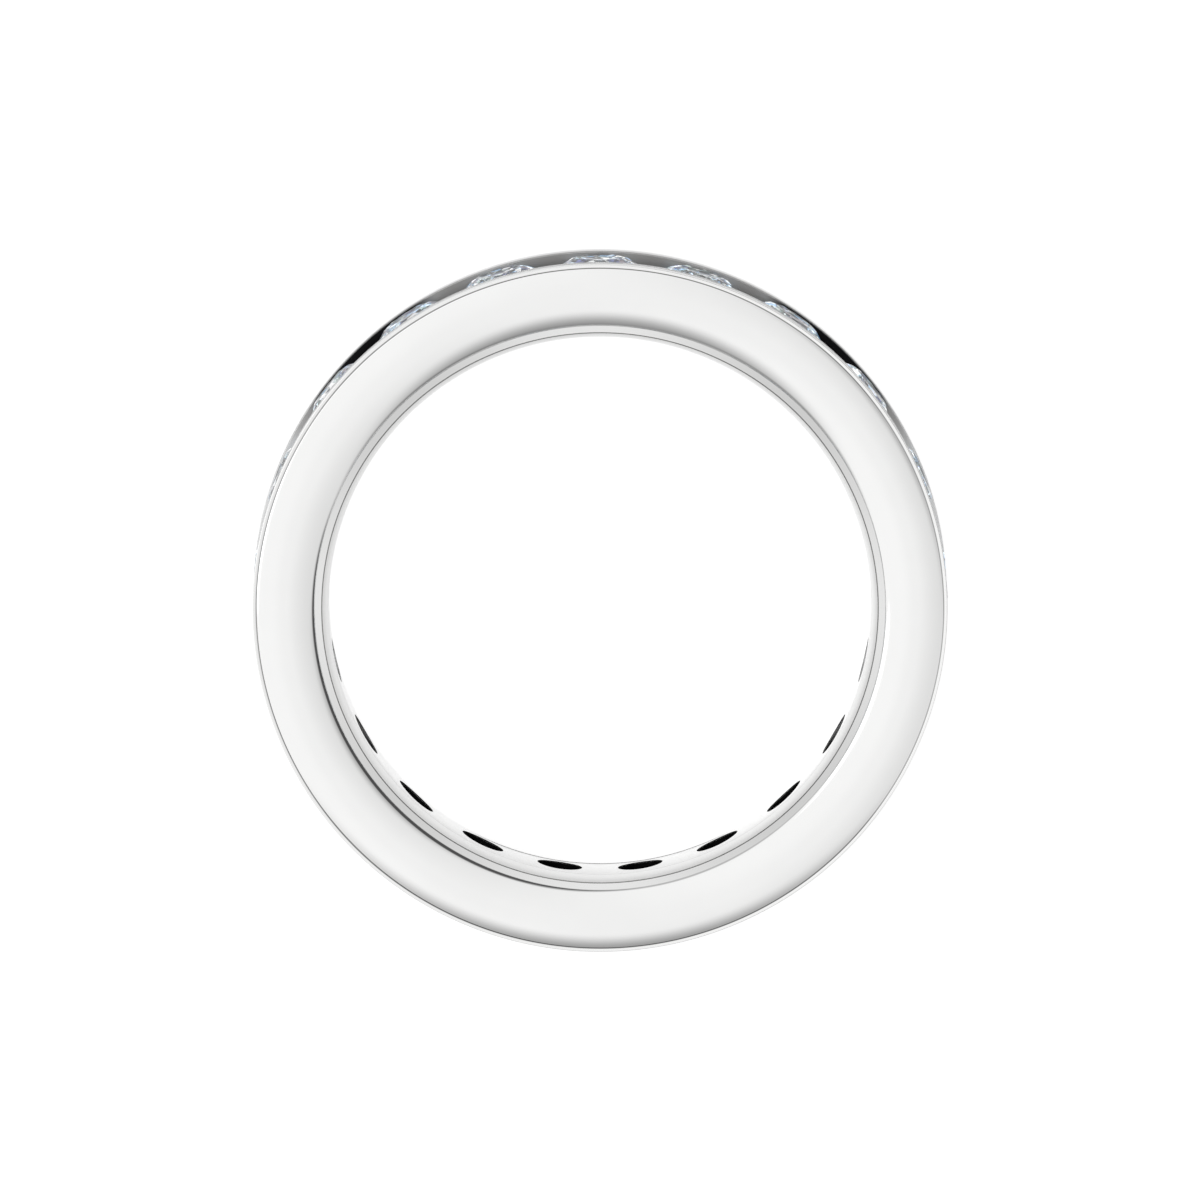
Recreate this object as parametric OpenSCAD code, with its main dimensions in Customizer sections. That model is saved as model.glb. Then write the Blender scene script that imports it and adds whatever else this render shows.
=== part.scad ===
// Full eternity band: round brilliant cut stones held between two rails.
// The ring's axis is +Z. It lies on one side face at z = 0, with its centre over the origin.

/* [Finger] */
// Diameter of the finger hole at the middle of its width
bore_d = 17.35; // [14:0.05:23]
// Length of the straight middle stretch of the finger hole
bore_straight = 1.8; // [1.7:0.05:2.2]

/* [Stones] */
// Diameter of a stone at its girdle
stone_d = 2.5; // [2.2:0.05:2.8]
// Diameter of a stone's table
table_d = 1.46; // [1.1:0.01:1.6]
// Height of the crown, from the girdle up to the table
crown_h = 0.28; // [0.24:0.01:0.5]
// Thickness of the girdle
girdle_h = 0.06; // [0.03:0.01:0.12]
// Depth of the pavilion, from the girdle down to the point
pavilion_h = 1.07; // [0.9:0.01:1.15]
// Smallest gap along the girdles between neighbouring stones
stone_gap = 0.62; // [0.2:0.01:1.5]
// How far down the pavilion the lower girdle facets reach, as a share of its slope
lower_facet_share = 0.77; // [0.6:0.01:0.85]
// How far out across the crown the star facets reach, as a share of its width
star_facet_share = 0.50; // [0.4:0.01:0.6]

/* [Channel] */
// How far each rail covers the girdle of a stone
rail_cover = 0.10; // [0.05:0.01:0.2]
// Height of the rails' tops over the stones' tables
rail_over_table = 0; // [0:0.01:0.1]
// Depth of the channel's floor below the girdles
floor_below_girdle = 0.42; // [0.3:0.01:0.55]
// Metal between the bore and the stones' points
point_cover = 1.02; // [0.7:0.01:1.2]
// Gap between a stone and its seat
seat_gap = 0.03; // [0.02:0.005:0.05]
// Diameter of the setting hole under each stone
hole_d = 1.45; // [1.2:0.01:1.5]

/* [Side faces] */
// Radial width of the flat along the middle of each side face
flat_w = 0.20; // [0.1:0.01:0.4]
// Slope, in degrees, that the face's long rounds reach on both sides of the flat
roll_slope = 22; // [14:1:30]
// Radius of the shoulder where the face turns down towards the lip
shoulder_r = 0.26; // [0.15:0.01:0.4]
// Slope, in degrees, that the shoulder reaches at its foot
shoulder_slope = 50; // [35:1:70]
// Height of the upright step between the shoulder's foot and the lip
lip_step = 0.03; // [0.01:0.005:0.06]
// Radial width of the lip between that step and the bore
lip_w = 0.215; // [0.15:0.005:0.3]
// Width and depth of the fine line cut between the lip and the bore
line_size = 0.035; // [0.02:0.005:0.06]
// How far the bore flares out from its straight stretch up to that line
flare_h = 0.20; // [0.1:0.01:0.25]

/* [Rails] */
// Thickness of each rail, measured along the ring's axis
rail_t = 0.745; // [0.6:0.005:1]
// Radial width of the raised rim along the outer edge of each side face
rim_w = 0.12; // [0.08:0.01:0.2]
// Height of the step from the edge of the face up to that rim
rim_step = 0.02; // [0.01:0.005:0.04]
// Slope, in degrees, of the rim's top where it meets that step
rim_slope = 18; // [8:1:20]
// Rounding of the rim's outer corner
rim_corner_r = 0.02; // [0.01:0.005:0.06]

/* [Hidden] */
// Straight pieces in each rounded corner of the section
arc_steps = 10;
// Bezel facets around a stone's table, and points around its girdle
mains = 8;
girdle_n = 2 * mains;
main_step = 360 / mains;
// How far cutters run past what they cut
over = 0.5;

channel_w = stone_d - 2 * rail_cover;
band_w = channel_w + 2 * rail_t;
half_w = band_w / 2;

bore_r = bore_d / 2;
girdle_r = bore_r + point_cover + pavilion_h + girdle_h;
outer_r = girdle_r + crown_h + rail_over_table;
floor_r = girdle_r - girdle_h - floor_below_girdle;

stone_count = floor(2 * PI * girdle_r / (stone_d + stone_gap));
stone_pitch = 360 / stone_count;

// The star facets' points lie on the planes of the bezel facets, and the lower girdle facets'
// points on those of the pavilion mains. The ridges from the girdle to these points stand out
// furthest, so they set the slopes of the seat.
stone_r = stone_d / 2;
table_r = table_d / 2;
half_cos = cos(main_step / 2);
star_r = table_r * half_cos + star_facet_share * (stone_r - table_r * half_cos);
star_z = crown_h * (stone_r - star_r * half_cos) / (stone_r - table_r);
lower_r = stone_r * (1 - lower_facet_share);
lower_z = -girdle_h - pavilion_h * (1 - lower_r * half_cos / stone_r);
crown_ridge = (stone_r - star_r) / star_z;
pavilion_ridge = (stone_r - lower_r) / (-girdle_h - lower_z);

// Radii from the bore outwards: the fine line, the lip, the shoulder, the rim
crest_r = bore_r + flare_h;
lip_inner_r = crest_r + line_size;
lip_outer_r = lip_inner_r + lip_w;
rim_r = outer_r - rim_w;

// The long rounds on both sides of the flat are arcs tangent to it. They share the width that
// is left, and the shoulder's arc goes on from the inner one, ever steeper down to its foot.
shoulder_w = shoulder_r * (sin(shoulder_slope) - sin(roll_slope));
shoulder_h = shoulder_r * (cos(roll_slope) - cos(shoulder_slope));
face_inner_r = lip_outer_r + shoulder_w;
roll_w = (rim_r - face_inner_r - flat_w) / 2;
roll_arc_r = roll_w / sin(roll_slope);
face_edge_y = half_w - roll_w * tan(roll_slope / 2);
lip_y = face_edge_y - shoulder_h - lip_step;

// The rim's top is an arc that starts at the step and is level where its outer corner begins
rim_top_w = rim_w - rim_corner_r;
rim_arc_r = rim_top_w / sin(rim_slope);
rim_y = face_edge_y + rim_step + rim_top_w * tan(rim_slope / 2);

// The bore's flare is an arc tangent to its straight stretch
flare_w = lip_y - bore_straight / 2;
flare_arc_r = (flare_w * flare_w + flare_h * flare_h) / (2 * flare_h);
flare_end = asin(flare_w / flare_arc_r);

function stone_name(i) = str("stone_", i < 10 ? "0" : "", i);

// Points along a circle's arc, from one angle to another
function arc(centre, r, from, to) = [
    for (i = [0 : arc_steps])
        let (a = from + (to - from) * i / arc_steps)
            centre + r * [cos(a), sin(a)]
];

// The same points without those that repeat the one before
function distinct(points) = [
    for (i = [0 : len(points) - 1])
        if (i == 0 || norm(points[i] - points[i - 1]) > 1e-6) points[i]
];

// Half of the band's section, from the bore's straight stretch round the side face to the channel
function half_section() = distinct(concat(
    arc([bore_r + flare_arc_r, bore_straight / 2], flare_arc_r, 180, 180 - flare_end),
    [[crest_r + line_size / 2, lip_y - line_size], [lip_inner_r, lip_y], [lip_outer_r, lip_y]],
    arc([face_inner_r + shoulder_r * sin(roll_slope), face_edge_y - shoulder_r * cos(roll_slope)],
        shoulder_r, 90 + shoulder_slope, 90 + roll_slope),
    arc([face_inner_r + roll_w, half_w - roll_arc_r], roll_arc_r, 90 + roll_slope, 90),
    arc([rim_r - roll_w, half_w - roll_arc_r], roll_arc_r, 90, 90 - roll_slope),
    arc([rim_r + rim_top_w, rim_y - rim_arc_r], rim_arc_r, 90 + rim_slope, 90),
    arc([rim_r + rim_top_w, rim_y - rim_corner_r], rim_corner_r, 90, 0),
    [[outer_r, channel_w / 2], [floor_r, channel_w / 2]]
));

// Carries what is built along +Z at the origin to a stone's place, +Z pointing outwards
module at_stone(i) {
    rotate([0, 0, 90 + (i - 1) * stone_pitch])
        translate([girdle_r, 0, half_w])
            rotate([0, 90, 0])
                children();
}

// Space cut under and around a stone: the setting hole, the cone that seats the pavilion,
// the notch that takes the girdle and the slope that clears the crown
module seat() {
    notch_r = stone_r + seat_gap;
    crown_z = (seat_gap * norm([1, crown_ridge]) - seat_gap) / crown_ridge;
    pavilion_z = -girdle_h - (seat_gap * norm([1, pavilion_ridge]) - seat_gap) / pavilion_ridge;
    hole_r = hole_d / 2;
    hole_z = pavilion_z - (notch_r - hole_r) / pavilion_ridge;
    start_z = bore_r - over - girdle_r;
    rotate_extrude($fn = 48)
        polygon([
            [0, start_z],
            [hole_r, start_z],
            [hole_r, hole_z],
            [notch_r, pavilion_z],
            [notch_r, crown_z],
            [notch_r - crown_ridge * (star_z - crown_z), star_z],
            [0, star_z],
        ]);
}

module band() {
    half = half_section();
    mirrored = [for (i = [len(half) - 1 : -1 : 0]) [half[i].x, -half[i].y]];
    color("gainsboro")
        difference() {
            translate([0, 0, half_w])
                rotate_extrude($fn = 180)
                    polygon(concat(half, mirrored));
            for (i = [1 : stone_count])
                at_stone(i) seat();
        }
}

// A round brilliant: table, star, bezel and upper girdle facets over a thin girdle, then the
// lower girdle and pavilion main facets down to a point. Its girdle's top edge is at z = 0.
module brilliant() {
    ring = function (n, r, z, turn) [
        for (k = [0 : n - 1]) [r * cos(k * 360 / n + turn), r * sin(k * 360 / n + turn), z]
    ];
    points = concat(
        ring(mains, table_r, crown_h, 0),
        ring(mains, star_r, star_z, main_step / 2),
        ring(girdle_n, stone_r, 0, 0),
        ring(girdle_n, stone_r, -girdle_h, 0),
        ring(mains, lower_r, lower_z, main_step / 2),
        [[0, 0, -girdle_h - pavilion_h]]
    );

    table = 0;
    star = table + mains;
    upper = star + mains;
    lower = upper + girdle_n;
    point_ring = lower + girdle_n;
    tip = point_ring + mains;
    wrap = function (k, n) (k + n) % n;

    faces = concat(
        [[for (k = [0 : mains - 1]) table + mains - 1 - k]],
        [for (k = [0 : mains - 1]) [table + k, table + wrap(k + 1, mains), star + k]],
        [for (k = [0 : mains - 1])
            [table + k, star + k, upper + 2 * k, star + wrap(k - 1, mains)]],
        [for (k = [0 : mains - 1]) [star + k, upper + 2 * k + 1, upper + 2 * k]],
        [for (k = [0 : mains - 1])
            [star + k, upper + wrap(2 * k + 2, girdle_n), upper + 2 * k + 1]],
        [for (k = [0 : girdle_n - 1])
            [upper + k, upper + wrap(k + 1, girdle_n), lower + wrap(k + 1, girdle_n), lower + k]],
        [for (k = [0 : mains - 1]) [lower + 2 * k, lower + 2 * k + 1, point_ring + k]],
        [for (k = [0 : mains - 1])
            [lower + 2 * k + 1, lower + wrap(2 * k + 2, girdle_n), point_ring + k]],
        [for (k = [0 : mains - 1])
            [lower + 2 * k, point_ring + k, tip, point_ring + wrap(k - 1, mains)]]
    );
    polyhedron(points, faces);
}

module stone(i) {
    color("aliceblue")
        at_stone(i) brilliant();
}

band();
for (i = [1 : stone_count])
    stone(i);
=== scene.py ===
import math
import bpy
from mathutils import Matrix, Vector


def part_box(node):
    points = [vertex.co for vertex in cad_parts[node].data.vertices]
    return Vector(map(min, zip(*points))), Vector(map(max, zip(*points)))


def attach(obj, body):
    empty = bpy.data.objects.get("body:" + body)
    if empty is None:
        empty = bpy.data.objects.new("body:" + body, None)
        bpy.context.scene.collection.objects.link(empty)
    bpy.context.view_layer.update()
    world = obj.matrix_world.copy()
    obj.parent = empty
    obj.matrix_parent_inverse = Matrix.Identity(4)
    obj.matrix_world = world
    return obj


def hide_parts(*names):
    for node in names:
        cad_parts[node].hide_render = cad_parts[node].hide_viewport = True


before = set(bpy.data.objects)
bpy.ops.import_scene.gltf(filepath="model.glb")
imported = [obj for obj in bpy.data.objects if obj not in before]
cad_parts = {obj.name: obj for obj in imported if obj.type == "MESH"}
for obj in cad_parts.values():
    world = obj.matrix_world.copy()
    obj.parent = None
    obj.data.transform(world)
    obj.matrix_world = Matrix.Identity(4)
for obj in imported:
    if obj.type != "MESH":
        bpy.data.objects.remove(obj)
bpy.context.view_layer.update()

from types import SimpleNamespace

import bmesh
import bpy
import numpy as np
from bpy.props import FloatProperty, FloatVectorProperty, IntProperty, PointerProperty
from mathutils import Matrix, Vector

bl_info = {
    "name": "Channel Set Band",
    "version": (1, 0, 0),
    "blender": (4, 5, 0),
    "location": "3D View > Sidebar > Ring",
    "description": "Finishes a full eternity band: white metal, brilliant cut stones and a pale studio",
    "category": "Object",
}

MM = 0.001
# Painted reflections over a stone's facets: colours of the patches, each from its share of the patches
# upwards
STONE_PAINTED_REFLECTIONS = (
    (0.0, (0.40, 0.58, 0.74)),
    (0.12, (0.80, 0.84, 0.84)),
    (0.24, (0.40, 0.50, 0.47)),
    (0.36, (1.0, 1.0, 1.0)),
    (0.50, (0.50, 0.46, 0.56)),
    (0.58, (0.02, 0.025, 0.12)),
    (0.72, (0.66, 0.72, 0.72)),
    (0.80, (0.10, 0.07, 0.09)),
    (0.88, (0.004, 0.004, 0.006)),
)
# Light that some of the patches give off by themselves
STONE_GLINTS = (
    (0.0, (0.0, 0.0, 0.0)),
    (0.78, (1.0, 1.0, 1.0)),
    (0.88, (0.26, 0.48, 0.74)),
    (0.95, (0.26, 0.34, 0.31)),
)
# Brightness of the small lamps that light meets after it has passed through a stone
LAMP_LEVELS = (
    (0.0, (0.006, 0.008, 0.03)),
    (0.24, (0.06, 0.045, 0.07)),
    (0.34, (0.12, 0.17, 0.155)),
    (0.45, (0.30, 0.44, 0.56)),
    (0.57, (0.56, 0.60, 0.59)),
    (0.72, (1.2, 1.2, 1.2)),
    (0.88, (3.2, 3.2, 3.2)),
)
# Dark areas of the surroundings. Where the centre lies: degrees from +Z and, seen from +Z, from +X.
# Then the degrees from the centre where the area starts and where it is darkest, and how dark it is.
DARK_AREAS = (
    (95, -90, 69, 37, 0.68),
    (100, 32, 72, 50, 0.9),
    (100, 108, 42, 18, 0.45),
)
# Straight pieces in each rounded stretch of the band's section
ARC_STEPS = SimpleNamespace(flare=14, shoulder=12, roll=12, rim_top=5, rim_corner=9, ease=4)
# Points of the section nearer to each other than this are one point
SHORTEST_PIECE = 1e-4 * MM
# Points of a mesh nearer to each other than this are merged
MERGE_DISTANCE = 2e-5 * MM
# Edges between faces that meet at more than this stay sharp
SHARP_ANGLE = math.radians(30)
# Over one, the rings round a setting hole lie closer together towards the hole
RING_SPREAD = 1.2
# Radii of the floor's rings of points, as shares of its size
FLOOR_RINGS = (0.02, 0.06, 0.2, 1.0)
# Cloudy patches to a metre, in the metal's tone and roughness, over the stones and on the floor
CLOUDS = SimpleNamespace(metal_tone=420.0, metal_roughness=900.0, stone=1500.0, floor=30.0)
# Where one finish of the metal gives way to the next: distances past the channel's wall, past the
# bore's surface, past the rails' tops, past the channel's floor and past the lip's outer edge
WALL_FADE = (0.004 * MM, 0.012 * MM)
BORE_FADE = (0.01 * MM, 0.05 * MM)
TOP_FADE = (-0.012 * MM, -0.002 * MM)
FLOOR_FADE = (0.0, 0.1 * MM)
LIP_FADE = (-0.01 * MM, 0.01 * MM)
# Shade along a line: how far it reaches to the inside and the outside, and how softly it ends
RIM_SHADE = SimpleNamespace(inside=0.012 * MM, outside=0.018 * MM, soft=0.014 * MM)
LIP_SHADE = SimpleNamespace(inside=0.012 * MM, outside=0.012 * MM, soft=0.01 * MM)
LINE_SOFT_ACROSS = 0.008 * MM
LINE_SOFT_DOWN = 0.006 * MM
# The floor's glow inside the ring, by the distance from the ring's axis: painted light that rises
# slowly out to wide_r and fast from near_r to edge_r, where it ends in painted shadow under the
# ring. Away from the bottom it goes on to under_r.
INNER_GLOW = SimpleNamespace(
    middle=0.86, near=1.05, edge=1.35,
    wide_r=7.5 * MM, near_r=8.15 * MM, edge_r=8.5 * MM, edge_fade=(0.0, 0.06 * MM),
    bottom_y=-8.1 * MM, bottom_fade=(0.0, 0.6 * MM), under_r=9.0 * MM, under_fade=(0.0, 0.3 * MM))
# Its glow outside the ring, with painted shadow under the ring's edge, and distances behind the ring
# where a dark strip of painted shadow begins and ends
OUTER_GLOW = SimpleNamespace(
    share=0.95, ring_fade=(-0.1 * MM, -0.02 * MM),
    strip_start=(0.07 * MM, 0.19 * MM), strip_end=(0.27 * MM, 0.35 * MM), strip_darkness=0.9)
STONES = sorted(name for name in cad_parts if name.startswith("stone_"))
BAND_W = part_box("band")[1][2]


class RingSizes(bpy.types.PropertyGroup):
    """Sizes of the ring's section and of its stones."""

    outer_r: FloatProperty(
        name="Outer Radius", description="From the axis to the tops of the rails",
        default=11.105 * MM, unit="LENGTH", subtype="DISTANCE", precision=6)
    half_w: FloatProperty(
        name="Half Width", description="Half of the ring's width, and the height of its middle",
        default=BAND_W / 2, unit="LENGTH", subtype="DISTANCE", precision=6)
    bore_r: FloatProperty(
        name="Bore Radius", description="Radius of the finger hole at the middle of its width",
        default=8.675 * MM, unit="LENGTH", subtype="DISTANCE", precision=6)
    bore_straight: FloatProperty(
        name="Straight Bore", description="Length of the straight middle stretch of the finger hole",
        default=1.8 * MM, unit="LENGTH", subtype="DISTANCE", precision=6)
    flare_h: FloatProperty(
        name="Bore Flare", description="How far the bore flares out up to the fine line beside the lip",
        default=0.20 * MM, unit="LENGTH", subtype="DISTANCE", precision=6)
    line_size: FloatProperty(
        name="Fine Line", description="Width and depth of the line between the bore and the lip",
        default=0.035 * MM, unit="LENGTH", subtype="DISTANCE", precision=6)
    lip_w: FloatProperty(
        name="Lip Width", description="Radial width of the lip",
        default=0.215 * MM, unit="LENGTH", subtype="DISTANCE", precision=6)
    lip_step: FloatProperty(
        name="Lip Step", description="Height of the upright step between the lip and the shoulder",
        default=0.03 * MM, unit="LENGTH", subtype="DISTANCE", precision=6)
    shoulder_r: FloatProperty(
        name="Shoulder Radius", description="Where the side face turns down towards the lip",
        default=0.26 * MM, unit="LENGTH", subtype="DISTANCE", precision=6)
    shoulder_slope: FloatProperty(
        name="Shoulder Slope", description="Slope that the shoulder reaches above the step",
        default=math.radians(50), unit="ROTATION", subtype="ANGLE")
    roll_slope: FloatProperty(
        name="Face Slope", description="Slope that the face's long rounds reach at their ends",
        default=math.radians(22), unit="ROTATION", subtype="ANGLE")
    flat_w: FloatProperty(
        name="Flat Width", description="Radial width of the flat along the middle of the side face",
        default=0.20 * MM, unit="LENGTH", subtype="DISTANCE", precision=6)
    rim_w: FloatProperty(
        name="Rim Width", description="Radial width of the raised rim",
        default=0.12 * MM, unit="LENGTH", subtype="DISTANCE", precision=6)
    rim_step: FloatProperty(
        name="Rim Step", description="Height of the step from the edge of the face up to the rim",
        default=0.02 * MM, unit="LENGTH", subtype="DISTANCE", precision=6)
    rim_slope: FloatProperty(
        name="Rim Slope", description="Slope of the rim's top where it meets that step",
        default=math.radians(18), unit="ROTATION", subtype="ANGLE")
    rim_corner_r: FloatProperty(
        name="Rim Rounding", description="Rounding of the rim's outer corner",
        default=0.02 * MM, unit="LENGTH", subtype="DISTANCE", precision=6)
    channel_w: FloatProperty(
        name="Channel Width", description="Clear width between the rails",
        default=2.3 * MM, unit="LENGTH", subtype="DISTANCE", precision=6)
    floor_r: FloatProperty(
        name="Channel Floor Radius", description="From the axis to the floor of the channel",
        default=10.345 * MM, unit="LENGTH", subtype="DISTANCE", precision=6)
    edge_ease: FloatProperty(
        name="Eased Edge", description="Rounding that polishing leaves on the rails' inner edges",
        default=0.004 * MM, unit="LENGTH", subtype="DISTANCE", precision=6)
    hole_r: FloatProperty(
        name="Setting Hole Radius", description="Radius of the round hole under each stone",
        default=0.725 * MM, unit="LENGTH", subtype="DISTANCE", precision=6)
    seat_r: FloatProperty(
        name="Seat Radius", description="Radius of each hole's cone where it meets the channel's floor",
        default=0.81 * MM, unit="LENGTH", subtype="DISTANCE", precision=6)
    seat_depth: FloatProperty(
        name="Seat Depth", description="How far that cone reaches down into the floor",
        default=0.075 * MM, unit="LENGTH", subtype="DISTANCE", precision=6)


class MetalFinish(bpy.types.PropertyGroup):
    """Polished white metal of the band, the dull metal round its stones, and the painted shade and
    painted light on them.
    """

    colour: FloatVectorProperty(
        name="Metal Colour", description="Colour of the polished metal",
        default=(0.955, 0.955, 0.95), subtype="COLOR", size=3, min=0, max=1)
    # The channel's grey is partly the dull metal's own colour and partly painted shade
    channel_colour: FloatVectorProperty(
        name="Channel Colour", description="Colour of the unpolished metal of the channel's walls",
        default=(0.42, 0.415, 0.41), subtype="COLOR", size=3, min=0, max=1)
    # Black of the painted shade in the setting holes, in the creases and in the channel's black
    # stretches
    painted_shade_colour: FloatVectorProperty(
        name="Hollow Colour", description="Colour of the metal deep in the setting holes",
        default=(0.012, 0.012, 0.013), subtype="COLOR", size=3, min=0, max=1)
    roughness: FloatProperty(
        name="Roughness", description="Roughness of the polished faces",
        default=0.09, subtype="FACTOR", min=0, max=1)
    setting_roughness: FloatProperty(
        name="Setting Roughness", description="Roughness of the unpolished metal round the stones",
        default=0.42, subtype="FACTOR", min=0, max=1)
    mark_depth: FloatProperty(
        name="Polish Mark Depth", description="Depth of the marks that polishing leaves round the ring",
        default=0.0003 * MM, unit="LENGTH", subtype="DISTANCE", precision=6)
    mark_strength: FloatProperty(
        name="Polish Mark Strength", description="How clearly the polish marks show",
        default=0.35, subtype="FACTOR", min=0, max=1)
    mark_count: FloatProperty(
        name="Polish Marks", description="Polish marks to a metre across the ring",
        default=26000, min=0)
    mark_run: FloatProperty(
        name="Polish Mark Run", description="Size across that counts like one radian round the ring",
        default=0.25 * MM, unit="LENGTH", subtype="DISTANCE", precision=6)
    # The channel's black stretches to both sides of the top and of the bottom are painted shade
    black_start: FloatProperty(
        name="Black Stretch Start", description="Angle from the top where the channel turns black",
        default=math.radians(28), unit="ROTATION", subtype="ANGLE")
    black_end: FloatProperty(
        name="Black Stretch End", description="Angle from the top where the channel is no longer black",
        default=math.radians(58), unit="ROTATION", subtype="ANGLE")
    black_fade: FloatProperty(
        name="Black Stretch Fade", description="Angle over which each end of the black stretch fades",
        default=math.radians(5), unit="ROTATION", subtype="ANGLE")
    # Painted light: the setting turns pale towards the ring's sides
    pale_start: FloatProperty(
        name="Pale Side Start", description="Angle from the top where the setting starts to turn pale",
        default=math.radians(55), unit="ROTATION", subtype="ANGLE")
    pale_end: FloatProperty(
        name="Pale Side End", description="Angle from the top where the setting is pale",
        default=math.radians(70), unit="ROTATION", subtype="ANGLE")
    pale_share: FloatProperty(
        name="Pale Side Share", description="Share of the setting's colour that is left at the sides",
        default=0.15, subtype="FACTOR", min=0, max=1)
    # Painted shade of the setting's colour along the lower rail's top, darker beside the black
    # stretches
    rail_shade: FloatProperty(
        name="Rail Shade", description="Share of the setting's colour along the lower rail's top",
        default=0.40, subtype="FACTOR", min=0, max=1)
    black_rail_shade: FloatProperty(
        name="Black Rail Shade", description="That share beside the channel's black stretches",
        default=0.88, subtype="FACTOR", min=0, max=1)
    line_shade: FloatProperty(
        name="Fine Line Shade", description="Darkness of the fine line beside the lip",
        default=0.24, subtype="FACTOR", min=0, max=1)
    lip_shade: FloatProperty(
        name="Lip Shade", description="Darkness of the corner where the lip meets its step",
        default=0.2, subtype="FACTOR", min=0, max=1)
    rim_shade: FloatProperty(
        name="Rim Shade", description="Darkness of the corner under the rim, at the sides",
        default=0.55, subtype="FACTOR", min=0, max=1)
    top_rim_shade: FloatProperty(
        name="Top Rim Shade", description="Darkness of the corner under the rim, at the top",
        default=0.78, subtype="FACTOR", min=0, max=1)
    rim_shade_start: FloatProperty(
        name="Rim Shade Start", description="Angle from the top where the rim's shade starts to change",
        default=math.radians(48), unit="ROTATION", subtype="ANGLE")
    rim_shade_end: FloatProperty(
        name="Rim Shade End", description="Angle from the top where the rim's shade has changed",
        default=math.radians(58), unit="ROTATION", subtype="ANGLE")
    bore_shade: FloatProperty(
        name="Bore Shade", description="Darkness of the metal from the bore's flare to the lip",
        default=0.20, subtype="FACTOR", min=0, max=1)
    lip_change: FloatProperty(
        name="Lip Change", description="How much that darkness changes round the lip",
        default=0.10, subtype="FACTOR", min=0, max=1)


class StoneFinish(bpy.types.PropertyGroup):
    """Brilliant cut stones."""

    ior: FloatProperty(
        name="Refractive Index", description="Refractive index of the stones",
        default=2.42, min=1, max=3)
    # The patches are painted reflections over the facets
    reflection_size: FloatProperty(
        name="Tint Size", description="Size of the patches of pale colour over the facets",
        default=0.26 * MM, unit="LENGTH", subtype="DISTANCE", precision=6)
    sparkle: FloatProperty(
        name="Sparkle", description="Light that the facets seem to give off by themselves",
        default=0.55, min=0)


class StudioSettings(bpy.types.PropertyGroup):
    """Camera, light and floor."""

    raise_angle: FloatProperty(
        name="Camera Raise", description="Angle of the camera from the ring's axis",
        default=math.radians(8.6), unit="ROTATION", subtype="ANGLE")
    frame_w: FloatProperty(
        name="Frame Width", description="Width of the picture where the ring is",
        default=38.4 * MM, unit="LENGTH", subtype="DISTANCE")
    lift: FloatProperty(
        name="Lift", description="How far over the ring's middle the camera looks",
        default=0.016 * MM, unit="LENGTH", subtype="DISTANCE", precision=6)
    camera_distance: FloatProperty(
        name="Camera Distance", description="From the ring's middle to the camera",
        default=1.2, unit="LENGTH", subtype="DISTANCE")
    sky: FloatProperty(
        name="Surroundings", description="Brightness of the pale surroundings overhead",
        default=0.925, min=0)
    backdrop: FloatProperty(
        name="Backdrop", description="Brightness that the camera sees behind the ring",
        default=1.0, min=0)
    floor_glow: FloatProperty(
        name="Floor Glow", description="Light that the floor gives off towards the ring",
        default=0.52, min=0)
    floor_lift: FloatProperty(
        name="Floor Lift", description="Light that the floor gives off towards the camera",
        default=0.80, min=0)
    floor_size: FloatProperty(
        name="Floor Size", description="Radius of the round floor",
        default=0.6, unit="LENGTH", subtype="DISTANCE")
    lamp_scale: FloatProperty(
        name="Lamp Scale", description="How finely the surroundings split into small lamps",
        default=2.6, min=0)
    softbox_place: FloatVectorProperty(
        name="Softbox Place", description="Where the softbox stands",
        default=(-0.45, 0.1, 0.3), unit="LENGTH", subtype="TRANSLATION", size=3)
    softbox_size: FloatProperty(
        name="Softbox Size", description="Width and height of the softbox",
        default=0.35, unit="LENGTH", subtype="DISTANCE")
    softbox_power: FloatProperty(
        name="Softbox Power", description="Light that the softbox gives",
        default=0.22, min=0)
    steps: IntProperty(
        name="Floor Steps", description="Steps of the floor's surface round its middle",
        default=64, min=12)


def arc(centre, radius, start, end, steps):
    """Points on a circle round a centre, their angle going evenly from start to end."""
    angle = np.linspace(start, end, steps + 1)
    return np.column_stack([centre[0] + radius * np.cos(angle), centre[1] + radius * np.sin(angle)])


def section_marks(size):
    """Radii and heights over the middle where one stretch of the section ends and the next begins.

    The face's two long rounds share the width that the lip, the shoulder, the flat and the rim
    leave. Heights follow from there: down the shoulder to the lip, and up the step to the rim.
    """
    crest_r = size.bore_r + size.flare_h
    lip_inner_r = crest_r + size.line_size
    lip_outer_r = lip_inner_r + size.lip_w
    shoulder_w = size.shoulder_r * (math.sin(size.shoulder_slope) - math.sin(size.roll_slope))
    shoulder_h = size.shoulder_r * (math.cos(size.roll_slope) - math.cos(size.shoulder_slope))
    face_inner_r = lip_outer_r + shoulder_w
    rim_r = size.outer_r - size.rim_w
    roll_w = (rim_r - face_inner_r - size.flat_w) / 2
    face_edge_y = size.half_w - roll_w * math.tan(size.roll_slope / 2)
    rim_top_w = size.rim_w - size.rim_corner_r
    return SimpleNamespace(
        crest_r=crest_r, lip_inner_r=lip_inner_r, lip_outer_r=lip_outer_r, face_inner_r=face_inner_r,
        rim_r=rim_r, roll_w=roll_w, face_edge_y=face_edge_y,
        lip_y=face_edge_y - shoulder_h - size.lip_step, rim_top_w=rim_top_w,
        rim_y=face_edge_y + size.rim_step + rim_top_w * math.tan(size.rim_slope / 2))


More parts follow.
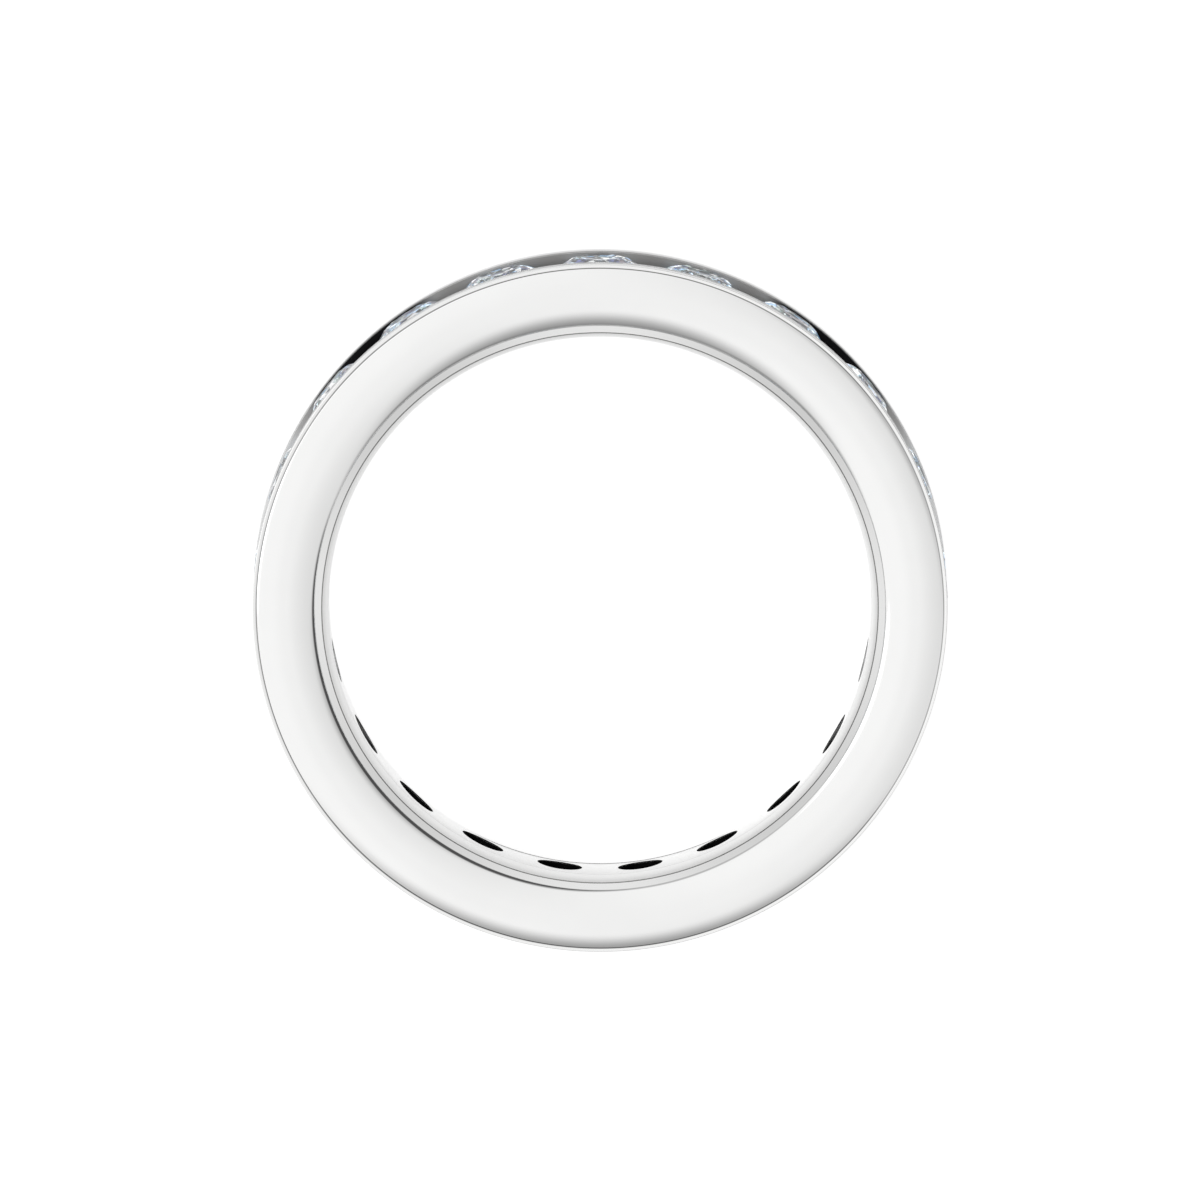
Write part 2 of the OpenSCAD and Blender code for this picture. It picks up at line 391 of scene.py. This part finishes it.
def half_section(size):
    """Radius and height over the middle, from the bore's straight stretch to the channel's floor.

    Each rounded stretch is an arc tangent to the one beside it.
    """
    turn = math.pi / 2
    mark = section_marks(size)
    flare_w = mark.lip_y - size.bore_straight / 2
    flare_r = (flare_w ** 2 + size.flare_h ** 2) / (2 * size.flare_h)
    roll_r = mark.roll_w / math.sin(size.roll_slope)
    rim_arc_r = mark.rim_top_w / math.sin(size.rim_slope)
    rim_corner_x = mark.rim_r + mark.rim_top_w
    channel = size.channel_w / 2
    ease = size.edge_ease

    points = np.vstack([
        arc((size.bore_r + flare_r, size.bore_straight / 2), flare_r,
            math.pi, math.pi - math.asin(flare_w / flare_r), ARC_STEPS.flare),
        [(mark.crest_r + size.line_size / 2, mark.lip_y - size.line_size),
         (mark.lip_inner_r, mark.lip_y), (mark.lip_outer_r, mark.lip_y)],
        arc((mark.face_inner_r + size.shoulder_r * math.sin(size.roll_slope),
             mark.face_edge_y - size.shoulder_r * math.cos(size.roll_slope)), size.shoulder_r,
            turn + size.shoulder_slope, turn + size.roll_slope, ARC_STEPS.shoulder),
        arc((mark.face_inner_r + mark.roll_w, size.half_w - roll_r), roll_r,
            turn + size.roll_slope, turn, ARC_STEPS.roll),
        arc((mark.rim_r - mark.roll_w, size.half_w - roll_r), roll_r,
            turn, turn - size.roll_slope, ARC_STEPS.roll),
        arc((rim_corner_x, mark.rim_y - rim_arc_r), rim_arc_r,
            turn + size.rim_slope, turn, ARC_STEPS.rim_top),
        arc((rim_corner_x, mark.rim_y - size.rim_corner_r), size.rim_corner_r,
            turn, 0, ARC_STEPS.rim_corner),
        arc((size.outer_r - ease, channel + ease), ease, 0, -turn, ARC_STEPS.ease),
        [(size.floor_r, channel)],
    ])
    moved = np.linalg.norm(np.diff(points, axis=0), axis=1) > SHORTEST_PIECE
    return points[np.concatenate([[True], moved])]


def grid_faces(rows, columns):
    """Four-sided faces of a grid of points whose last column joins its first."""
    row, column = np.meshgrid(np.arange(rows - 1), np.arange(columns), indexing="ij")
    right = (column + 1) % columns
    faces = np.stack([row * columns + column, row * columns + right,
                      (row + 1) * columns + right, (row + 1) * columns + column], axis=-1)
    return faces.reshape(-1, 4)


def revolved(section, angles):
    """A section carried round the axis: each point keeps its radius and height at every angle."""
    radius, height = section[:, :1], section[:, 1:]
    return np.stack([radius * np.cos(angles), radius * np.sin(angles),
                     np.broadcast_to(height, (len(section), len(angles)))], axis=-1).reshape(-1, 3)


def sector_border(half_angle, half_height, across, up):
    """Points round a rectangle of angle and height, evenly spaced along each of its sides."""
    along = np.linspace(-half_angle, half_angle, across + 1)
    rise = np.linspace(-half_height, half_height, up + 1)
    angle = np.concatenate([along[:-1], np.full(up, half_angle),
                            along[:0:-1], np.full(up, -half_angle)])
    height = np.concatenate([np.full(across, -half_height), rise[:-1],
                             np.full(across, half_height), rise[:0:-1]])
    return angle, height


def pierced_patch(radius, half_angle, half_height, hole_r, across, up, rings):
    """Part of a cylinder with a round hole: rings of points from the hole to the patch's border.

    Each ring blends the circle of the hole with the rectangle of the border, seen along the hole,
    and every point is then set out to the cylinder's radius.
    """
    angle, height = sector_border(half_angle, half_height, across, up)
    side = radius * np.sin(angle)
    round_angle = np.arctan2(height, side)
    share = (np.linspace(0, 1, rings + 1) ** RING_SPREAD)[:, None]
    x = (1 - share) * hole_r * np.cos(round_angle) + share * side
    z = (1 - share) * hole_r * np.sin(round_angle) + share * height
    return np.stack([x, np.sqrt(radius ** 2 - x ** 2), z], axis=-1), round_angle


def turned(points, angles, middle):
    """Copies of points built round +Y, each turned by one of the angles about the ring's axis."""
    x, y, z = np.moveaxis(points, -1, 0)
    cos, sin = np.cos(angles), np.sin(angles)
    shape = (len(angles),) + (1,) * x.ndim
    cos, sin = cos.reshape(shape), sin.reshape(shape)
    return np.stack([x * cos - y * sin, x * sin + y * cos, z + middle + 0 * cos], axis=-1)


def band_arrays(size, stone_count, across=16, up=10, rings=6):
    """Points and faces of the whole band.

    The section is carried round the axis. In the bore and in the channel's floor every stone has a
    patch with a round hole, and a tube with a cone at its outer end joins the two.
    """
    pitch = 2 * math.pi / stone_count
    half = half_section(size)
    mirrored = half[::-1] * [1, -1]
    angles = math.pi / 2 - pitch / 2 + np.arange(stone_count * across) * pitch / across
    parts = []
    for section in (half, mirrored):
        shell = revolved(section + [0, size.half_w], angles)
        parts.append((shell, grid_faces(len(section), len(angles))))

    copies = np.arange(stone_count) * pitch
    bore, _ = pierced_patch(size.bore_r, pitch / 2, size.bore_straight / 2,
                            size.hole_r, across, up, rings)
    floor, floor_angle = pierced_patch(size.floor_r, pitch / 2, size.channel_w / 2,
                                       size.seat_r, across, up, rings)
    cone_start = np.stack([size.hole_r * np.cos(floor_angle),
                           np.full_like(floor_angle, size.floor_r - size.seat_depth),
                           size.hole_r * np.sin(floor_angle)], axis=-1)
    tube = np.stack([bore[0], cone_start, floor[0]])
    for patch in (bore, floor, tube):
        rows, columns = patch.shape[:2]
        faces = grid_faces(rows, columns)
        points = turned(patch, copies, size.half_w)
        shift = (np.arange(stone_count) * rows * columns)[:, None, None]
        parts.append((points.reshape(-1, 3), (faces[None] + shift).reshape(-1, 4)))

    start = np.cumsum([0] + [len(points) for points, _ in parts[:-1]])
    points = np.vstack([points for points, _ in parts])
    faces = np.vstack([faces + first for (_, faces), first in zip(parts, start)])
    return points, faces


def mesh_object(name, points, faces):
    """A smooth mesh of the points and faces, its doubles merged, its faces turned outwards."""
    mesh = bpy.data.meshes.new(name)
    mesh.from_pydata(points.tolist(), [], faces.tolist())
    work = bmesh.new()
    work.from_mesh(mesh)
    bmesh.ops.remove_doubles(work, verts=work.verts, dist=MERGE_DISTANCE)
    bmesh.ops.recalc_face_normals(work, faces=work.faces)
    open_edges = sum(1 for edge in work.edges if not edge.is_manifold)
    work.to_mesh(mesh)
    work.free()
    mesh.shade_smooth()
    mesh.set_sharp_from_angle(angle=SHARP_ANGLE)
    piece = bpy.data.objects.new(name, mesh)
    bpy.context.scene.collection.objects.link(piece)
    return piece, open_edges


def add_node(tree, kind, inputs=None, **settings):
    """A new node with its settings, its inputs set to a value or joined to another node's output."""
    new = tree.nodes.new(kind)
    for key, value in settings.items():
        setattr(new, key, value)
    for key, value in (inputs or {}).items():
        if isinstance(value, bpy.types.NodeSocket):
            tree.links.new(value, new.inputs[key])
        else:
            new.inputs[key].default_value = value
    return new


def math_node(tree, operation, *values):
    """The output of a Math node of the values."""
    return add_node(tree, "ShaderNodeMath", dict(enumerate(values)), operation=operation).outputs[0]


def eased(tree, value, from_low, from_high, to_low, to_high):
    """The value carried smoothly from one range to another."""
    return add_node(tree, "ShaderNodeMapRange",
                    {"Value": value, "From Min": from_low, "From Max": from_high,
                     "To Min": to_low, "To Max": to_high},
                    interpolation_type="SMOOTHSTEP").outputs["Result"]


def fade_in(tree, value, edge, span):
    """Nothing before an edge and one past it; the span gives the distances from the edge."""
    return eased(tree, value, edge + span[0], edge + span[1], 0.0, 1.0)


def fade_out(tree, value, edge, span):
    """One before an edge and nothing past it; the span gives the distances from the edge."""
    return eased(tree, value, edge + span[0], edge + span[1], 1.0, 0.0)


def product(tree, *values):
    """The values multiplied together."""
    result = values[0]
    for value in values[1:]:
        result = math_node(tree, "MULTIPLY", result, value)
    return result


def band_mask(tree, value, low, high, soft):
    """One between the low and the high value, falling softly to nothing outside them."""
    return product(tree, eased(tree, value, low - soft, low + soft, 0.0, 1.0),
                   eased(tree, value, high - soft, high + soft, 1.0, 0.0))


def line_mask(tree, radius, line_r, shade):
    """One along a line round the ring, as far as the shade beside it reaches."""
    return band_mask(tree, radius, line_r - shade.inside, line_r + shade.outside, shade.soft)


def mixed(tree, factor, first, second, **settings):
    """The output of a Mix node between two values, or two colours where the settings say so."""
    return add_node(tree, "ShaderNodeMix", {"Factor": factor, "A": first, "B": second},
                    **settings).outputs["Result"]


def grey(tree, level):
    """The grey of a level."""
    return add_node(tree, "ShaderNodeCombineColor", {0: level, 1: level, 2: level}).outputs[0]


def ring_coordinates(tree):
    """Where a point lies: its place, the place's axes and its distance from the ring's axis."""
    place = tree.nodes.new("ShaderNodeTexCoord").outputs["Object"]
    axis = add_node(tree, "ShaderNodeSeparateXYZ", {0: place}).outputs
    squares = [math_node(tree, "POWER", axis[name], 2.0) for name in "XY"]
    return place, axis, math_node(tree, "SQRT", math_node(tree, "ADD", *squares))


def haze_group():
    """Soft cloudy variation between two values, as handling and wiping leave on a polished surface."""
    tree = bpy.data.node_groups.new("handling_haze", "ShaderNodeTree")
    sockets = (("Vector", "NodeSocketVector", None), ("Scale", "NodeSocketFloat", 1000.0),
               ("Low", "NodeSocketFloat", 0.0), ("High", "NodeSocketFloat", 1.0))
    for name, kind, default in sockets:
        socket = tree.interface.new_socket(name, in_out="INPUT", socket_type=kind)
        if default is not None:
            socket.default_value = default
    tree.interface.new_socket("Value", in_out="OUTPUT", socket_type="NodeSocketFloat")
    source = tree.nodes.new("NodeGroupInput").outputs
    noise = add_node(tree, "ShaderNodeTexNoise", {"Vector": source["Vector"], "Scale": source["Scale"],
                                                  "Detail": 4.0, "Roughness": 0.6})
    darkest, lightest = 0.3, 0.7
    value = eased(tree, noise.outputs["Fac"], darkest, lightest, source["Low"], source["High"])
    add_node(tree, "NodeGroupOutput", {"Value": value})
    return tree


def haze(tree, group, vector, scale, low, high):
    """The output of a haze group placed in a material."""
    new = tree.nodes.new("ShaderNodeGroup")
    new.node_tree = group
    tree.links.new(vector, new.inputs["Vector"])
    new.inputs["Scale"].default_value = scale
    new.inputs["Low"].default_value = low
    new.inputs["High"].default_value = high
    return new.outputs["Value"]


def new_material(name):
    """An empty node material with its output and Principled shader."""
    material = bpy.data.materials.new(name)
    material.use_nodes = True
    tree = material.node_tree
    tree.nodes.clear()
    shader = tree.nodes.new("ShaderNodeBsdfPrincipled")
    add_node(tree, "ShaderNodeOutputMaterial", {"Surface": shader.outputs[0]})
    return material, tree, shader


def setting_masks(tree, finish, size, axis, radius, from_middle, from_top):
    """Where the setting lies, how much of its colour shows, and where that colour is black.

    The setting is the rough, dull metal of the channel and the holes; its grey is partly painted shade.
    Some of its colour also lies on the lower rail's top as painted shade. Painted shade makes it
    black below the channel's floor and in a stretch of the channel to both sides of the top, and
    painted light turns it pale towards the ring's sides.
    """
    channel = size.channel_w / 2
    setting = product(tree, fade_out(tree, from_middle, channel, WALL_FADE),
                      fade_in(tree, radius, size.bore_r, BORE_FADE),
                      fade_out(tree, radius, size.outer_r, TOP_FADE))

    # Painted shade: black in the stretches to both sides of the top and below the channel's floor
    stretch = product(tree, fade_in(tree, from_top, finish.black_start, (0.0, finish.black_fade)),
                      fade_out(tree, from_top, finish.black_end, (-finish.black_fade, 0.0)))
    below_floor = fade_out(tree, radius, size.floor_r, FLOOR_FADE)
    black = math_node(tree, "MAXIMUM", below_floor, stretch)

    rail_foot = size.half_w * 0.1
    over_middle = (0.0, 0.02 * MM)
    # Painted shade on the lower rail's top
    lower_top = product(tree, fade_in(tree, radius, size.outer_r, TOP_FADE),
                        eased(tree, axis["Z"], size.half_w - channel, rail_foot, 1.0, 0.0),
                        fade_out(tree, axis["Z"], size.half_w, over_middle),
                        eased(tree, stretch, 0.0, 1.0, finish.rail_shade, finish.black_rail_shade))
    shown = product(tree, math_node(tree, "MAXIMUM", setting, lower_top),
                    eased(tree, from_top, finish.pale_start, finish.pale_end, 1.0, finish.pale_share))
    return setting, shown, black


def crease_shade_mask(tree, finish, size, radius, from_middle, from_top):
    """How dark the painted shade is along the fine line, and in the corners under the rim and at the
    lip's outer edge.
    """
    mark = section_marks(size)
    in_line = product(tree, band_mask(tree, radius, mark.crest_r, mark.lip_inner_r, LINE_SOFT_ACROSS),
                      band_mask(tree, from_middle, mark.lip_y - size.line_size, mark.lip_y,
                                LINE_SOFT_DOWN))
    under_rim = product(tree, line_mask(tree, radius, mark.rim_r, RIM_SHADE),
                        eased(tree, from_middle, size.channel_w / 2, mark.lip_y, 0.0, 1.0),
                        eased(tree, from_top, finish.rim_shade_start, finish.rim_shade_end,
                              finish.top_rim_shade, finish.rim_shade))
    at_lip = line_mask(tree, radius, mark.lip_outer_r, LIP_SHADE)
    inner = math_node(tree, "MAXIMUM", product(tree, in_line, finish.line_shade),
                      product(tree, at_lip, finish.lip_shade))
    return math_node(tree, "MAXIMUM", inner, under_rim)


def polished_colour_and_shade(tree, finish, size, group, place, radius, angle):
    """Colour of the polished metal: faintly clouded, and a little darker from the flare to the lip
    with painted shade.

    Round the lip, that painted shade comes and goes four times.
    """
    mark = section_marks(size)
    flare_start = size.bore_r + 0.02 * MM
    near_bore = product(tree, eased(tree, radius, flare_start, mark.crest_r, 0.0, 1.0),
                        fade_out(tree, radius, mark.lip_outer_r, LIP_FADE))
    times_round = 4.0
    change = product(tree, math_node(tree, "COSINE", math_node(tree, "MULTIPLY", angle, times_round)),
                     eased(tree, radius, mark.crest_r, mark.lip_inner_r, 0.0, finish.lip_change))
    darkness = product(tree, near_bore, math_node(tree, "SUBTRACT", finish.bore_shade, change))

    clouded = 0.985
    clean = haze(tree, group, place, CLOUDS.metal_tone, clouded, 1.0)
    tone = product(tree, clean, math_node(tree, "SUBTRACT", 1.0, darkness))
    return mixed(tree, 1.0, (*finish.colour, 1.0), grey(tree, tone),
                 data_type="RGBA", blend_type="MULTIPLY")


def metal_material(finish, size, group):
    """Polished white metal, with polish marks round the ring, a dull setting, and painted shade and
    painted light in the setting, in the creases and from the flare to the lip.
    """
    material, tree, shader = new_material("polished_white_metal")
    place, axis, radius = ring_coordinates(tree)
    from_middle = math_node(tree, "ABSOLUTE", math_node(tree, "SUBTRACT", axis["Z"], size.half_w))
    from_top = math_node(tree, "ARCTAN2", math_node(tree, "ABSOLUTE", axis["X"]),
                         math_node(tree, "ABSOLUTE", axis["Y"]))
    angle = math_node(tree, "ARCTAN2", axis["Y"], axis["X"])

    setting, shown, black = setting_masks(tree, finish, size, axis, radius, from_middle, from_top)
    crease_shade = crease_shade_mask(tree, finish, size, radius, from_middle, from_top)
    polished = polished_colour_and_shade(tree, finish, size, group, place, radius, angle)
    # Painted shade: the setting's grey and black, and the black in the creases, laid over the polished
    # colour
    deep = (*finish.painted_shade_colour, 1.0)
    dull_and_shaded = mixed(tree, black, (*finish.channel_colour, 1.0), deep, data_type="RGBA")
    colour = mixed(tree, shown, polished, dull_and_shaded, data_type="RGBA")
    colour = mixed(tree, crease_shade, colour, deep, data_type="RGBA")

    smoothest, roughest = 0.8, 1.25
    wiped = haze(tree, group, place, CLOUDS.metal_roughness,
                 finish.roughness * smoothest, finish.roughness * roughest)
    rough = mixed(tree, setting, wiped, finish.setting_roughness)

    round_ring = add_node(tree, "ShaderNodeCombineXYZ",
                          {"X": math_node(tree, "MULTIPLY", angle, finish.mark_run),
                           "Y": radius, "Z": axis["Z"]})
    marks = add_node(tree, "ShaderNodeTexNoise",
                     {"Vector": round_ring.outputs[0], "Scale": finish.mark_count, "Detail": 3.0})
    bump = add_node(tree, "ShaderNodeBump",
                    {"Strength": finish.mark_strength, "Distance": finish.mark_depth,
                     "Height": marks.outputs["Fac"]})

    tree.links.new(colour, shader.inputs["Base Color"])
    tree.links.new(rough, shader.inputs["Roughness"])
    tree.links.new(bump.outputs["Normal"], shader.inputs["Normal"])
    shader.inputs["Metallic"].default_value = 1.0
    return material


def stepped_colours(tree, value, steps):
    """The colour of the last step that the value has reached."""
    node = add_node(tree, "ShaderNodeValToRGB", {"Fac": value})
    ramp = node.color_ramp
    ramp.interpolation = "CONSTANT"
    for element, (position, colour) in zip(ramp.elements, steps[:2]):
        element.position = position
        element.color = (*colour, 1.0)
    for position, colour in steps[2:]:
        ramp.elements.new(position).color = (*colour, 1.0)
    return node.outputs["Color"]


def stone_material(finish, group):
    """Clear stone whose facets carry painted reflections in white, pale blue, grey green, lilac, navy
    and black flecks, and painted glints that glow.
    """
    material, tree, shader = new_material("clear_stone")
    place = tree.nodes.new("ShaderNodeTexCoord").outputs["Object"]
    cells = add_node(tree, "ShaderNodeTexVoronoi", {"Vector": place, "Scale": 1 / finish.reflection_size})
    pick = add_node(tree, "ShaderNodeSeparateColor", {0: cells.outputs["Color"]}).outputs
    painted_reflections = stepped_colours(tree, pick["Red"], STONE_PAINTED_REFLECTIONS)
    tree.links.new(painted_reflections, shader.inputs["Base Color"])
    tree.links.new(stepped_colours(tree, pick["Green"], STONE_GLINTS), shader.inputs["Emission Color"])
    smeared = 0.004
    tree.links.new(haze(tree, group, place, CLOUDS.stone, 0.0, smeared), shader.inputs["Roughness"])
    shader.inputs["Emission Strength"].default_value = finish.sparkle
    shader.inputs["Transmission Weight"].default_value = 1.0
    shader.inputs["IOR"].default_value = finish.ior
    return material


def glow_inside(tree, axis, radius):
    """Share of the floor's glow inside the ring, as the bore and the stones reflect it.

    As painted light it rises towards the bore, and painted shadow ends it under the ring. Only at the
    bottom it ends at once; elsewhere it runs on a little, so that the bore's far edge stays bright.
    """
    glow = INNER_GLOW
    rise = product(tree, eased(tree, radius, 0.0, glow.wide_r, glow.middle, 1.0),
                   eased(tree, radius, glow.near_r, glow.edge_r, glow.near, glow.edge))
    ends_at_once = fade_out(tree, radius, glow.edge_r, glow.edge_fade)
    runs_on = product(tree, fade_in(tree, axis["Y"], glow.bottom_y, glow.bottom_fade),
                      fade_out(tree, radius, glow.under_r, glow.under_fade))
    return product(tree, rise, math_node(tree, "MAXIMUM", ends_at_once, runs_on))


def glow_outside(tree, size, axis, radius):
    """Share of the floor's glow outside the ring: painted shadow under the ring's edge, and a dark
    strip of painted shadow just behind the ring.

    The channel and the stones at the top reflect that strip.
    """
    across = math_node(tree, "SUBTRACT", size.outer_r ** 2, math_node(tree, "POWER", axis["X"], 2.0))
    outline = math_node(tree, "SQRT", math_node(tree, "MAXIMUM", across, 0.0))
    behind = math_node(tree, "SUBTRACT", axis["Y"], outline)
    glow = OUTER_GLOW
    strip = product(tree, fade_in(tree, behind, 0.0, glow.strip_start),
                    fade_out(tree, behind, 0.0, glow.strip_end), glow.strip_darkness)
    past_ring = fade_in(tree, radius, size.outer_r, glow.ring_fade)
    return product(tree, past_ring, glow.share, math_node(tree, "SUBTRACT", 1.0, strip))


def floor_material(settings, size, group):
    """Pale, evenly lit floor with a barely visible mottle.

    The camera sees an even glow. Reflections see the glow that changes with the place: painted light
    that rises towards the bore, and painted shadow under the ring and just behind it.
    """
    material, tree, shader = new_material("pale_floor")
    place, axis, radius = ring_coordinates(tree)
    darkest, lightest = 0.49, 0.51
    tone = haze(tree, group, place, CLOUDS.floor, darkest, lightest)
    share = math_node(tree, "MAXIMUM", glow_inside(tree, axis, radius),
                      glow_outside(tree, size, axis, radius))
    camera_ray = tree.nodes.new("ShaderNodeLightPath").outputs["Is Camera Ray"]
    glow = mixed(tree, camera_ray, product(tree, share, settings.floor_glow), settings.floor_lift)

    tree.links.new(grey(tree, tone), shader.inputs["Base Color"])
    tree.links.new(glow, shader.inputs["Emission Strength"])
    shader.inputs["Emission Color"].default_value = (1.0, 1.0, 1.0, 1.0)
    shader.inputs["Roughness"].default_value = 0.85
    shader.inputs["Specular IOR Level"].default_value = 0.1
    return material


def shared_haze():
    """The haze group, built once."""
    return bpy.data.node_groups.get("handling_haze") or haze_group()


def direction(from_axis, round_axis):
    """Unit vector at degrees from +Z and, seen from +Z, at degrees from +X."""
    down, round_it = math.radians(from_axis), math.radians(round_axis)
    return Vector((math.sin(down) * math.cos(round_it), math.sin(down) * math.sin(round_it),
                   math.cos(down)))


def build_surroundings(settings):
    """Pale surroundings that dim towards the right and have soft dark areas near the horizon.

    Light that has passed through a stone meets a livelier pattern instead, as the many small lamps
    of a studio give, and the camera itself sees an even backdrop.
    """
    world = bpy.data.worlds.new("studio")
    bpy.context.scene.world = world
    world.use_nodes = True
    tree = world.node_tree
    tree.nodes.clear()
    seen = tree.nodes.new("ShaderNodeTexCoord").outputs["Generated"]

    to_right = add_node(tree, "ShaderNodeSeparateXYZ", {0: seen}).outputs["X"]
    left, right = -0.35, 0.8
    left_level, right_level = 1.05, 0.81
    dimming = eased(tree, to_right, left, right, left_level, right_level)
    level = math_node(tree, "MULTIPLY", dimming, settings.sky)
    for from_axis, round_axis, start, darkest, darkness in DARK_AREAS:
        centre = direction(from_axis, round_axis)
        nearness = add_node(tree, "ShaderNodeVectorMath", {0: seen, 1: centre},
                            operation="DOT_PRODUCT").outputs["Value"]
        dark = eased(tree, nearness, math.cos(math.radians(start)), math.cos(math.radians(darkest)),
                     1.0, 1 - darkness)
        level = math_node(tree, "MULTIPLY", level, dark)

    cells = add_node(tree, "ShaderNodeTexVoronoi", {"Vector": seen, "Scale": settings.lamp_scale})
    pick = add_node(tree, "ShaderNodeSeparateColor", {0: cells.outputs["Color"]}).outputs["Red"]
    lamps = stepped_colours(tree, pick, LAMP_LEVELS)

    path = tree.nodes.new("ShaderNodeLightPath").outputs
    reflected = mixed(tree, path["Is Transmission Ray"], grey(tree, level), lamps, data_type="RGBA")
    backdrop = (settings.backdrop, settings.backdrop, settings.backdrop, 1.0)
    colour = mixed(tree, path["Is Camera Ray"], reflected, backdrop, data_type="RGBA")
    background = add_node(tree, "ShaderNodeBackground", {"Color": colour, "Strength": 1.0})
    add_node(tree, "ShaderNodeOutputWorld", {"Surface": background.outputs[0]})


def build_floor(settings):
    """A flat round floor: rings of points round its middle, at growing distances."""
    turn = np.arange(settings.steps) * 2 * math.pi / settings.steps
    radius = np.array(FLOOR_RINGS)[:, None] * settings.floor_size
    rows = len(FLOOR_RINGS)
    points = np.stack([radius * np.cos(turn), radius * np.sin(turn),
                       np.zeros((rows, settings.steps))], axis=-1).reshape(-1, 3)
    faces = grid_faces(rows, settings.steps)[:, ::-1].tolist()
    mesh = bpy.data.meshes.new("floor")
    mesh.from_pydata(points.tolist(), [], faces + [list(range(settings.steps))])
    floor = bpy.data.objects.new("floor", mesh)
    bpy.context.scene.collection.objects.link(floor)
    return floor


def add_softbox(settings, target):
    """A square soft light that faces the target."""
    place = Vector(settings.softbox_place)
    light = bpy.data.lights.new("softbox_left", "AREA")
    light.size = settings.softbox_size
    light.energy = settings.softbox_power
    lamp = bpy.data.objects.new("softbox_left", light)
    turn = (target - place).to_track_quat("-Z", "Y").to_matrix().to_4x4()
    lamp.matrix_world = Matrix.Translation(place) @ turn
    bpy.context.scene.collection.objects.link(lamp)


def add_camera(settings, target):
    """A long lens at the photo's angle to the ring's axis, with +Y upwards in the picture."""
    away = Vector((0, math.sin(settings.raise_angle), math.cos(settings.raise_angle)))
    up = Vector((0, math.cos(settings.raise_angle), -math.sin(settings.raise_angle)))
    data = bpy.data.cameras.new("camera")
    data.sensor_width = 36
    data.lens = data.sensor_width * settings.camera_distance / settings.frame_w
    data.clip_start = 0.05
    data.clip_end = 10
    camera = bpy.data.objects.new("camera", data)
    turn = Matrix((up.cross(away), up, away)).transposed().to_4x4()
    camera.matrix_world = Matrix.Translation(target + away * settings.camera_distance) @ turn
    bpy.context.scene.collection.objects.link(camera)
    bpy.context.scene.camera = camera


class RING_OT_studio(bpy.types.Operator):
    """Adds the camera, the soft light, the surroundings and the pale floor"""

    bl_idname = "ring.studio"
    bl_label = "Studio"

    def execute(self, context):
        settings = context.scene.ring_studio
        size = context.scene.ring_sizes
        middle = Vector((0, 0, size.half_w))
        add_camera(settings, middle + Vector((0, settings.lift, 0)))
        add_softbox(settings, middle)
        build_surroundings(settings)

        floor = build_floor(settings)
        floor.data.materials.append(floor_material(settings, size, shared_haze()))
        context.scene.view_settings.view_transform = "Standard"
        return {"FINISHED"}


class RING_OT_band(bpy.types.Operator):
    """Makes the band's polished surface, with its bore, channel, seats and setting holes"""

    bl_idname = "ring.band"
    bl_label = "Band"

    def execute(self, context):
        size = context.scene.ring_sizes
        points, faces = band_arrays(size, len(STONES))
        band, open_edges = mesh_object("band_surface", points, faces)
        if open_edges:
            raise RuntimeError(f"the band has {open_edges} open edges")
        band.data.materials.append(metal_material(context.scene.ring_metal, size, shared_haze()))
        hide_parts("band")
        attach(band, "root")
        return {"FINISHED"}


class RING_OT_stones(bpy.types.Operator):
    """Gives the brilliant cut stones their finish"""

    bl_idname = "ring.stones"
    bl_label = "Stones"

    def execute(self, context):
        material = stone_material(context.scene.ring_stone, shared_haze())
        for name in STONES:
            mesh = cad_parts[name].data
            mesh.materials.clear()
            mesh.materials.append(material)
        return {"FINISHED"}


class RING_PT_ring(bpy.types.Panel):
    """Lists the steps and the settings"""

    bl_idname = "RING_PT_ring"
    bl_label = "Channel Set Band"
    bl_space_type = "VIEW_3D"
    bl_region_type = "UI"
    bl_category = "Ring"

    def draw(self, context):
        layout = self.layout
        for operator in (RING_OT_studio, RING_OT_band, RING_OT_stones):
            layout.operator(operator.bl_idname)
        for group in (context.scene.ring_sizes, context.scene.ring_metal,
                      context.scene.ring_stone, context.scene.ring_studio):
            box = layout.box()
            for name in group.__annotations__:
                box.prop(group, name)


GROUPS = {"ring_sizes": RingSizes, "ring_metal": MetalFinish,
          "ring_stone": StoneFinish, "ring_studio": StudioSettings}
CLASSES = (*GROUPS.values(), RING_OT_studio, RING_OT_band, RING_OT_stones, RING_PT_ring)


def register():
    """Registers the classes and hangs the settings on the scene."""
    for item in CLASSES:
        bpy.utils.register_class(item)
    for name, group in GROUPS.items():
        setattr(bpy.types.Scene, name, PointerProperty(type=group))


def unregister():
    """Takes the settings and the classes away again."""
    for name in GROUPS:
        delattr(bpy.types.Scene, name)
    for item in reversed(CLASSES):
        bpy.utils.unregister_class(item)


def main():
    """Runs the steps in order."""
    register()
    bpy.ops.ring.studio()
    bpy.ops.ring.band()
    bpy.ops.ring.stones()


if __name__ == "__main__":
    main()
